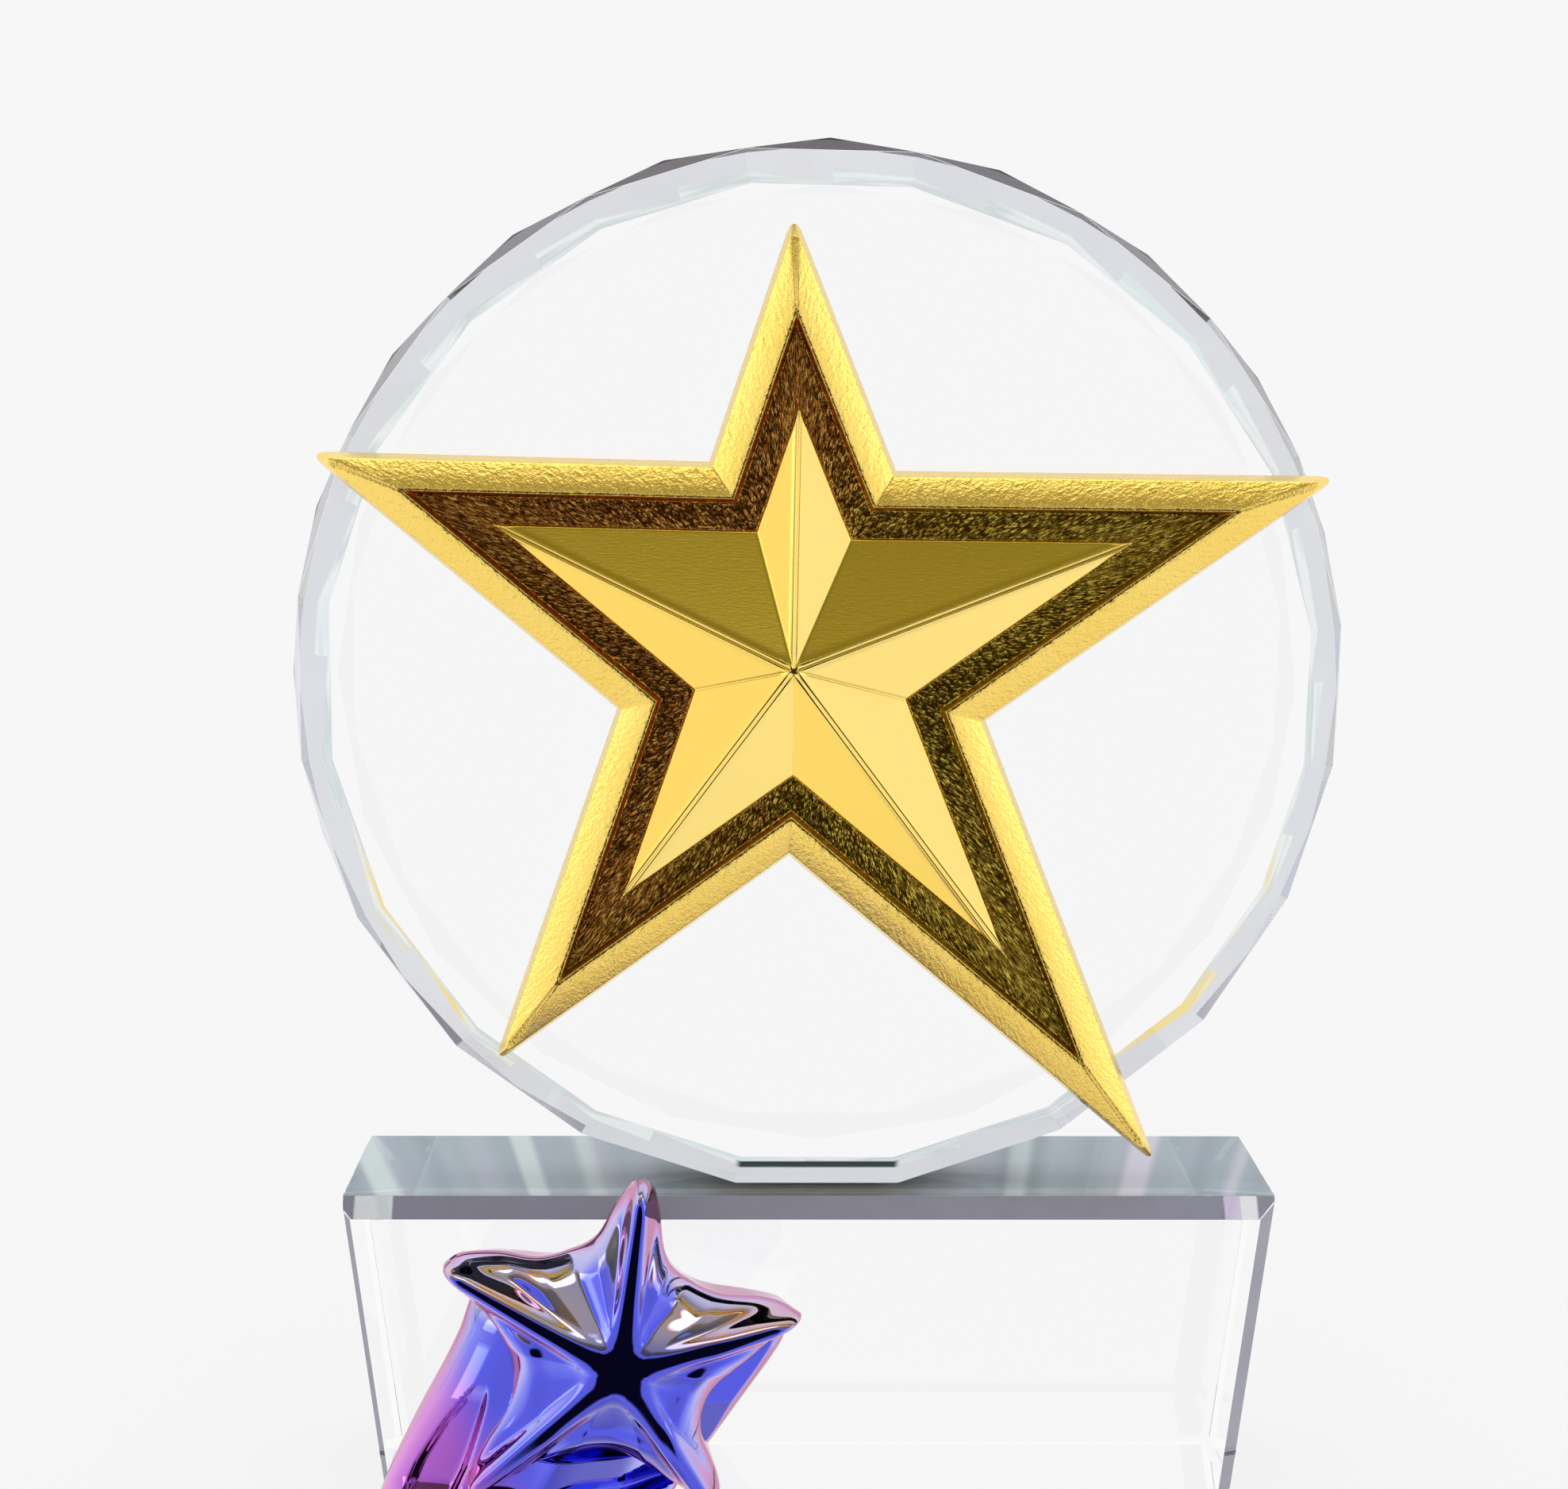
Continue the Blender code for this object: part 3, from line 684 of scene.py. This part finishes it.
def gold_material(zone):
    """Gold plating: grainy on the rim; crinkled in the channel, dark brown in the hollows between
    the crinkles, partly a duller finish and partly painted shade, with redder metal at its upper
    left; and polished on the core, where painted shade makes the facets facing left a deeper gold
    and paints an olive reflection of the dim overhead on the facets that face upwards."""
    material, g, output = new_material("gold_" + zone)
    where = object_space(g)
    if zone == "rim":
        grain = g.noise(where, 2600.0, 3.0, 0.6)
        colour = g.mix(g.noise(where, 120.0, 3.0), (1.0, 0.74, 0.20), (0.97, 0.68, 0.13))
        roughness, height, distance = 0.20, grain, 0.085 * MM
    elif zone == "channel":
        grain = g.noise(where, 3400.0, 3.0, 0.65, 0.6)
        raised = g.node("ShaderNodeAttribute", attribute_name="raised").outputs["Fac"]
        x, _, z = g.split(where)[:3]
        upper_left = g.math("ADD", g.product(x, -18.0), g.product(z, 9.0))
        blotch = g.step(g.math("ADD", upper_left, g.noise(where, 70.0, 2.0)), 1.25, 1.75)
        # Dark brown in the hollows between the crinkles: partly the channel's duller finish, partly
        # painted shade.
        hollow = g.mix(blotch, (0.36, 0.21, 0.02), (0.36, 0.13, 0.02))
        crest = g.mix(blotch, (1.0, 0.78, 0.13), (0.80, 0.43, 0.10))
        colour = g.mix(g.step(raised, 0.25, 0.7), hollow, crest)
        roughness, height, distance = 0.24, grain, 0.030 * MM
    else:
        streak = g.node("ShaderNodeMapping", {"Vector": where, "Scale": (1.0, 1.0, 5.0)})
        grain = g.noise(streak.outputs[0], 900.0, 4.0, 0.65)
        side, _, up = g.split(g.node("ShaderNodeNewGeometry").outputs["True Normal"])[:3]
        # Painted shade: facets facing left are a deeper gold than facets facing right, and facets
        # facing up take a painted olive reflection of the dim overhead.
        colour = g.mix(g.step(side, -0.30, 0.30), (1.0, 0.71, 0.15), (1.0, 0.77, 0.235))
        colour = g.mix(g.step(up, 0.26, 0.36), colour, (0.80, 0.575, 0.075))
        roughness, height, distance = 0.16, grain, 0.010 * MM
    gold = g.node("ShaderNodeBsdfPrincipled", {
        "Base Color": colour, "Metallic": 1.0, "Roughness": roughness,
        "Normal": g.bump(height, distance)})
    g.feed(output.inputs["Surface"], gold.outputs[0])
    return material


# ---------------------------------------------------------------- glazed shooting star

# The star's outline from the front, as x and z of its centre, five tips and five notches
FIGURE_CENTRE = np.array([-23.2, 22.7]) * MM
FIGURE_TIPS = np.array([(-20.5, 44.7), (-45.2, 34.1), (-42.3, 5.8), (-11.6, 3.4),
                        (-1.1, 27.7)]) * MM
FIGURE_NOTCHES = np.array([(-28.2, 33.6), (-34.6, 22.4), (-24.6, 13.0), (-15.4, 16.9),
                           (-17.8, 30.8)]) * MM
FIGURE_TIP_WIDTHS = np.array([3.2, 3.4, 3.6, 3.2, 2.0]) * MM
FIGURE_UNDERCUT = 0.11         # how much the star narrows from its rim back to the block
FIGURE_ROWS = 72
RIDGE_TOP = 18.4 * MM          # height of the ridges' meeting point above the back
RIDGE_FALL = 4.6 * MM          # how much lower a ridge is at its tip
FLANK_DROP = 5.4 * MM          # how far a ridge's flank drops beside it
EDGE_DEPTH = 4.5 * MM          # height taken up by the rolled edge
TAIL_LEVELS, TAIL_COLUMNS = 150, 200
TAIL_TOP = 27.6 * MM
TAIL_CAP = 4.0 * MM            # height of the tail's rounded top
TAIL_SLANT = 0.065             # how much lower the tail's top is at its right than at its left
# (height, x) in mm along the tail's two sides
TAIL_LEFT = ((0.0, -55.3), (6.9, -52.4), (13.5, -49.0), (19.6, -45.4), (24.0, -43.2),
             (30.0, -42.6))
TAIL_RIGHT = ((0.0, -19.0), (9.3, -12.4), (15.8, -8.2), (21.2, -4.6), (25.0, -2.6),
              (27.0, -2.6))


def smooth_loop(points, rounds):
    """Closed curve from control points by cutting corners."""
    for _ in range(rounds):
        after = np.roll(points, -1, axis=0)
        points = np.stack([points * 0.75 + after * 0.25, points * 0.25 + after * 0.75],
                          axis=1).reshape(-1, 2)
    return points


def figure_outline():
    """Closed curve round the five blunt points."""
    controls = []
    for tip, notch, width in zip(FIGURE_TIPS, FIGURE_NOTCHES, FIGURE_TIP_WIDTHS):
        outward = (tip - FIGURE_CENTRE) / np.linalg.norm(tip - FIGURE_CENTRE)
        side = np.array([-outward[1], outward[0]]) * width / 2
        controls += [tip - side, tip + side, notch]
    return smooth_loop(np.array(controls), 5)


def ridge_surface(plan):
    """Height of the five broad ridges and the valleys between them, before the edge is rolled."""
    heights = []
    slope, rounding = 0.40, 2.5 * MM       # of the gentle fall from a ridge to the valleys
    for tip in FIGURE_TIPS:
        line = tip - FIGURE_CENTRE
        length = np.linalg.norm(line)
        along = (plan - FIGURE_CENTRE) @ line / length
        across = np.abs((plan - FIGURE_CENTRE) @ np.array([-line[1], line[0]]) / length)
        share = np.clip(along / length, 0.0, 1.0)
        behind = np.clip(-along, 0.0, None)
        width = (3.1 - 2.0 * share) * MM
        flank = FLANK_DROP * smoothstep(along, 1.0 * MM, 8.5 * MM) * (1 - 0.55 * share ** 2)
        fall = flank * (1 - np.exp(-(across / width) ** 4))
        fall += slope * (np.sqrt(across ** 2 + rounding ** 2) - rounding)
        heights.append(RIDGE_TOP - RIDGE_FALL * share ** 1.4 - fall - 0.5 * behind)
    softness = 0.5 * MM
    stacked = np.array(heights) / softness
    top = stacked.max(axis=0)
    total = np.exp(stacked - top).sum(axis=0)
    near_centre = np.exp(-np.linalg.norm(plan - FIGURE_CENTRE, axis=-1) / (4.0 * MM))
    return softness * (top + np.log(total) * (1 - near_centre))


def edge_distance(plan, outline):
    """Distance of each point to the closed outline."""
    a, b = outline, np.roll(outline, -1, axis=0)
    nearest = np.full(plan.shape[:-1], 1.0)
    for start, end in zip(a, b):
        nearest = np.minimum(nearest, line_distance(plan, start, end))
    return nearest


def face_height(plan, outline):
    """Height of the star's front: ridges, a lip along the lower edges, deeper upper valleys and
    a rolled edge."""
    edge = edge_distance(plan, outline)
    reach = np.linalg.norm(plan - FIGURE_CENTRE, axis=-1)
    toward_tip = smoothstep(reach, 11 * MM, 20 * MM)
    roll = (3.0 - 1.4 * toward_tip) * MM
    below = smoothstep(plan[..., 1] - FIGURE_CENTRE[1], 6 * MM, 2 * MM)
    lip = 0.35 * MM * (1 - toward_tip) * below * ridge(edge - roll, 1.3 * MM)
    aside = np.min([line_distance(plan, FIGURE_CENTRE, tip) for tip in FIGURE_TIPS], axis=0)
    deepening = 0.40 * (1 - below) * np.clip(aside - 2.0 * MM, 0.0, None)
    gap = np.clip(1.0 - edge / roll, 0.0, 1.0)
    rolled = EDGE_DEPTH * (1.0 - np.sqrt(np.maximum(1.0 - gap ** 2, 0.0)))
    return ridge_surface(plan) + lip - deepening - rolled


def build_star_face(back_y):
    """Closed mesh of the five-pointed front: its face in rings round the centre, and the side
    wall that narrows back to the block."""
    outline = figure_outline()
    shares = np.linspace(0.0, 1.0, FIGURE_ROWS) ** 0.8
    shares = np.concatenate([shares[1:-1], [0.992, 1.0]])
    plan = FIGURE_CENTRE + (outline[None] - FIGURE_CENTRE) * shares[:, None, None]
    height = face_height(plan, outline)
    grid = np.stack([plan[..., 0], back_y - height, plan[..., 1]], axis=-1)
    middle = np.array([FIGURE_CENTRE[0], 0.0, FIGURE_CENTRE[1]])
    wall = []
    for s in (0.06, 0.15, 0.3, 0.5, 0.75, 1.0):
        ring = middle + (grid[-1] - middle) * (1 - FIGURE_UNDERCUT * s)
        ring[:, 1] = grid[-1][:, 1] * (1 - s) + back_y * s
        wall.append(ring)
    grid = np.concatenate([grid, np.array(wall)])
    rows, columns = grid.shape[:2]
    peak_height = ridge_surface(FIGURE_CENTRE[None])[0]
    peak = [FIGURE_CENTRE[0], back_y - peak_height, FIGURE_CENTRE[1]]
    points = np.vstack([grid.reshape(-1, 3), peak])
    front = fan_faces(np.arange(columns), rows * columns, -1)
    mesh = bpy.data.meshes.new("star_face")
    last = list(range((rows - 1) * columns, rows * columns))
    mesh.from_pydata(points.tolist(), [],
                     grid_faces(rows, columns).tolist() + front.tolist() + [last[::-1]])
    return mesh


def along_curve(table, z):
    """Value at height z on a smooth curve close to (height, value) design points in mm: their
    straight joins, averaged over 4 mm of height."""
    heights, values = np.array(table).T
    window = np.linspace(-2.0, 2.0, 9)
    return np.mean([np.interp(z / MM + w, heights, values) for w in window], axis=0) * MM


def tail_depth(across, x, z):
    """How far the tail's front stands off the block, across running from -1 at its left side to 1
    at its right, at x and height z."""
    foot = smoothstep(z, 5.8 * MM, 1.4 * MM)
    thick = 8.0 * MM + 0.28 * np.clip(z, 0.0, 16 * MM) + 4.8 * MM * foot
    body = thick * np.clip(1 - np.abs(across) ** 2.1, 0.0, 1.0) ** 0.5
    right_plane = thick - 8.0 * MM * np.clip(across, 0.0, 1.0) * (1 - foot)
    right_edge = np.clip((1.0 - across) / 0.05, 0.0, 1.0) ** 0.5
    body = np.minimum(body, right_plane * right_edge)

    leaf_half = 0.15 * np.sqrt(np.clip((18.5 * MM - z) / (11 * MM), 0.0001, 1.0))
    leaf_middle = -0.66 - 0.05 * z / (18 * MM)
    leaf = smoothstep(np.abs(across - leaf_middle) / leaf_half, 1.30, 0.70)
    leaf_hollow = 1.6 * MM * leaf * smoothstep(z, 18.5 * MM, 15.5 * MM)
    lip = 0.5 * MM * ridge(across + 0.42, 0.09) * smoothstep(z, 22 * MM, 15 * MM)

    swell_middle = -(26.0 * MM + 0.35 * (10.0 * MM - z))
    swell_height = np.maximum(13.6 * MM + 0.36 * (z - 9 * MM) - thick, 0.0)
    swell = swell_height * np.exp(-((x - swell_middle) / (7.0 * MM)) ** 4)
    swell *= smoothstep(z, 11.2 * MM, 9.8 * MM)
    return np.maximum(body - leaf_hollow + lip + swell, 0.15 * MM)


def build_tail(back_y, foot_z):
    """Closed mesh of the broad tail behind the points, in level sections that slant a little."""
    levels = foot_z + (TAIL_TOP - foot_z) * np.linspace(0.0, 1.0, TAIL_LEVELS) ** 0.85
    sweep = np.cos(np.linspace(0.0, math.pi, TAIL_COLUMNS))
    rings = []
    for z in levels:
        left, right = along_curve(TAIL_LEFT, z), along_curve(TAIL_RIGHT, z)
        rise = np.clip((z - TAIL_TOP + TAIL_CAP) / TAIL_CAP, 0.0, 0.995)
        taper = math.sqrt(1.0 - rise ** 2)
        x = (left + right) / 2 + sweep * (right - left) / 2 * (0.90 + 0.10 * taper)
        depth = tail_depth(sweep, x, np.full(TAIL_COLUMNS, z)) * taper
        slanted = z * (1 - TAIL_SLANT * sweep * z / TAIL_TOP)
        front = np.stack([x, back_y - depth, slanted], axis=1)
        rear = front[-2:0:-6] * [1, 0, 1] + [0, back_y, 0]
        rings.append(np.vstack([front, rear]))
    grid = np.array(rings)
    rows, columns = grid.shape[:2]
    mesh = bpy.data.meshes.new("tail")
    last = list(range((rows - 1) * columns, rows * columns))
    mesh.from_pydata(grid.reshape(-1, 3).tolist(), [],
                     grid_faces(rows, columns).tolist() + [list(range(columns))[::-1], last])
    return mesh


def turn_outward(mesh):
    """Makes all faces of a closed mesh point out."""
    bm = bmesh.new()
    bm.from_mesh(mesh)
    bmesh.ops.recalc_face_normals(bm, faces=bm.faces)
    bm.to_mesh(mesh)
    bm.free()


def joined(first, second, operation):
    """Mesh of a Boolean between two closed meshes."""
    objects = [bpy.data.objects.new("part", mesh) for mesh in (first, second)]
    for obj in objects:
        SCENE.collection.objects.link(obj)
    cut = objects[0].modifiers.new("join", "BOOLEAN")
    cut.operation = operation
    cut.solver = "EXACT"
    cut.object = objects[1]
    result = objects[0].evaluated_get(bpy.context.evaluated_depsgraph_get())
    mesh = bpy.data.meshes.new_from_object(result)
    for obj in objects:
        bpy.data.objects.remove(obj)
    return mesh


def box_mesh(low, high):
    """Mesh of a box between two corners."""
    bm = bmesh.new()
    bmesh.ops.create_cube(bm, size=1.0)
    bmesh.ops.scale(bm, vec=high - low, verts=bm.verts)
    bmesh.ops.translate(bm, vec=(low + high) / 2, verts=bm.verts)
    mesh = bpy.data.meshes.new("box")
    bm.to_mesh(mesh)
    bm.free()
    return mesh


def build_figure():
    """The shooting star: its face and tail in one mesh, cut to the space of its CAD solid."""
    low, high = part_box("glazed_shooting_star")
    face, tail = build_star_face(high.y), build_tail(high.y, low.z)
    turn_outward(face)
    turn_outward(tail)
    mesh = joined(joined(face, tail, "UNION"), box_mesh(low, high), "INTERSECT")
    figure = new_piece("shooting_star_glazed", "glazed_shooting_star", [])
    figure.data = mesh
    mesh.materials.clear()
    mesh.materials.append(glaze_material())
    mesh.shade_smooth()
    mesh.set_sharp_from_angle(angle=math.radians(38.0))


def glaze_material():
    """Mirror-bright iridescent glaze: blue-violet face on, pink and peach at the rims, a painted
    reflection in silver and gold on the upper slopes, and magenta down the tail."""
    material, g, output = new_material("glaze_iridescent")
    where = object_space(g)
    x, _, z = g.split(where)[:3]
    facing = g.node("ShaderNodeLayerWeight", {"Blend": 0.5}).outputs["Facing"]
    cloud = g.math("SUBTRACT", g.noise(where, 45.0, 2.0), 0.5)
    film = g.math("ADD", facing, g.product(cloud, 0.12))
    front = g.ramp(film, ((0.0, (0.070, 0.080, 0.56)), (0.22, (0.095, 0.105, 0.78)),
                          (0.42, (0.22, 0.25, 0.92)), (0.56, (0.48, 0.50, 0.95)),
                          (0.66, (0.66, 0.42, 0.74)), (0.76, (0.62, 0.30, 0.44)),
                          (1.0, (0.74, 0.50, 0.52))))
    # Painted reflection on the upward-facing upper slopes: silver for the grey overhead, gold for the
    # gold star.
    painted_upper_reflection = g.ramp(g.noise(where, 130.0, 2.0),
                  ((0.42, (0.66, 0.65, 0.80)), (0.54, (0.78, 0.70, 0.68)), (0.62, (0.95, 0.62, 0.24))))
    upward = g.split(g.node("ShaderNodeNewGeometry").outputs["Normal"])[2]
    painted_upper_reflection_share = g.product(g.step(upward, 0.34, 0.60), g.step(z, 23 * MM, 28 * MM),
                       g.step(film, 0.72, 0.50), 0.62)
    tail = g.ramp(film, ((0.0, (0.20, 0.045, 0.34)), (0.25, (0.42, 0.12, 0.60)),
                         (0.50, (0.72, 0.30, 0.78)), (0.75, (0.90, 0.52, 0.78)),
                         (1.0, (0.95, 0.75, 0.80))))
    low_left = g.math("ADD", g.product(x, -1.0 / (12 * MM)), g.product(z, -1.0 / (26 * MM)))
    colour = g.mix(g.step(low_left, 2.55, 3.45), g.mix(painted_upper_reflection_share, front, painted_upper_reflection), tail)
    glaze = g.node("ShaderNodeBsdfPrincipled", {
        "Base Color": colour, "Metallic": 1.0, "Roughness": 0.035,
        "Specular Tint": (0.80, 0.58, 0.72), "Coat Weight": 0.12, "Coat Roughness": 0.02,
        "Normal": g.bump(g.noise(where, 160.0, 1.0), 0.010 * MM)})
    g.feed(output.inputs["Surface"], glaze.outputs[0])
    return material


# ---------------------------------------------------------------- films, tapes and pads

SHEET_EDGE = 1.6 * MM          # longer edges of a sheet's mesh are divided


def soft_sheet(name, node, material, edge, wave, ripple=0.0):
    """A rounded, slightly uneven sheet in the space its CAD solid holds. Its edge is rounded off
    by edge, its outline wanders inwards by up to wave, and its faces sink by up to ripple."""
    low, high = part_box(node)
    middle, size = (low + high) / 2, high - low
    thin = min(range(3), key=lambda axis: size[axis])
    bm = bmesh.new()
    bm.from_mesh(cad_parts[node].data)
    bmesh.ops.remove_doubles(bm, verts=bm.verts, dist=0.01 * MM)
    bmesh.ops.dissolve_limit(bm, angle_limit=math.radians(1.0), verts=bm.verts, edges=bm.edges)
    rims = [e for e in bm.edges if abs(e.verts[0].co[thin] - e.verts[1].co[thin]) < size[thin] / 2]
    bmesh.ops.bevel(bm, geom=rims, offset=min(edge, size[thin] * 0.45), segments=4, profile=0.5,
                    affect="EDGES")
    bmesh.ops.triangulate(bm, faces=[f for f in bm.faces if abs(f.normal[thin]) > 0.9])
    for _ in range(3):
        long_edges = [e for e in bm.edges if e.calc_length() > SHEET_EDGE]
        bmesh.ops.subdivide_edges(bm, edges=long_edges, cuts=1, use_grid_fill=True)
    for vertex in bm.verts:
        sway = 0.5 + 0.5 * noise.noise(vertex.co * 160.0 + Vector((thin, 1.0, 2.0)))
        pull = middle - vertex.co
        pull[thin] = 0.0
        if pull.length > 0.001 * MM:
            vertex.co += pull.normalized() * wave * sway
        dent = ripple * (0.5 + 0.5 * noise.noise(vertex.co * 420.0))
        toward = 1.0 if vertex.co[thin] < middle[thin] else -1.0
        vertex.co[thin] += toward * dent
    bmesh.ops.recalc_face_normals(bm, faces=bm.faces)
    piece = new_piece(name, node, [material])
    bm.to_mesh(piece.data)
    bm.free()
    piece.data.shade_smooth()
    piece.data.set_sharp_from_angle(angle=math.radians(50.0))


def adhesive_material():
    """Cured clear adhesive with small pale bubbles."""
    material, g, output = new_material("adhesive_cured")
    where = object_space(g)
    bubbles = g.step(g.node("ShaderNodeTexVoronoi", {"Vector": where, "Scale": 900.0}).outputs[0],
                     0.16, 0.10)
    colour = g.mix(bubbles, (0.42, 0.43, 0.46), (0.85, 0.87, 0.90))
    film = g.node("ShaderNodeBsdfPrincipled", {
        "Base Color": colour, "Roughness": 0.22, "IOR": 1.48, "Transmission Weight": 0.75,
        "Normal": g.bump(g.noise(where, 700.0, 2.0), 0.02 * MM)})
    g.feed(output.inputs["Surface"], film.outputs[0])
    return material


def tape_material():
    """Off-white foam with fine cells."""
    material, g, output = new_material("tape_foam")
    where = object_space(g)
    cells = g.node("ShaderNodeTexVoronoi", {"Vector": where, "Scale": 2600.0}).outputs[0]
    colour = g.mix(g.noise(where, 250.0, 3.0), (0.80, 0.80, 0.78), (0.90, 0.90, 0.89))
    foam = g.node("ShaderNodeBsdfPrincipled", {
        "Base Color": colour, "Roughness": 0.78, "Normal": g.bump(cells, 0.04 * MM)})
    g.feed(output.inputs["Surface"], foam.outputs[0])
    return material


def pad_material():
    """Pale silicone rubber, softly grainy and slightly translucent."""
    material, g, output = new_material("pad_silicone")
    where = object_space(g)
    grain = g.noise(where, 1400.0, 3.0)
    colour = g.mix(g.noise(where, 60.0, 3.0), (0.82, 0.83, 0.85), (0.90, 0.91, 0.92))
    rubber = g.node("ShaderNodeBsdfPrincipled", {
        "Base Color": colour, "Roughness": 0.55, "Subsurface Weight": 0.2,
        "Subsurface Radius": (2 * MM,) * 3, "Normal": g.bump(grain, 0.03 * MM)})
    g.feed(output.inputs["Surface"], rubber.outputs[0])
    return material


def build_soft_pieces():
    adhesive, tape, pad = adhesive_material(), tape_material(), pad_material()
    for place in ("disc", "figure"):
        soft_sheet(place + "_film_cured", place + "_bond_film", adhesive,
                   edge=0.08 * MM, wave=0.5 * MM)
    for place in ("centre", "leg_1", "leg_2", "leg_3", "leg_4", "leg_5"):
        soft_sheet("foam_tape_" + place, "star_tape_" + place, tape,
                   edge=0.2 * MM, wave=0.25 * MM, ripple=0.02 * MM)
    for place in ("block", "figure"):
        soft_sheet(place + "_pad_soft", place + "_pad", pad,
                   edge=0.3 * MM, wave=0.2 * MM, ripple=0.03 * MM)


build_world()
build_floor()
build_camera()
build_crystal()
build_gold_star()
build_figure()
build_soft_pieces()
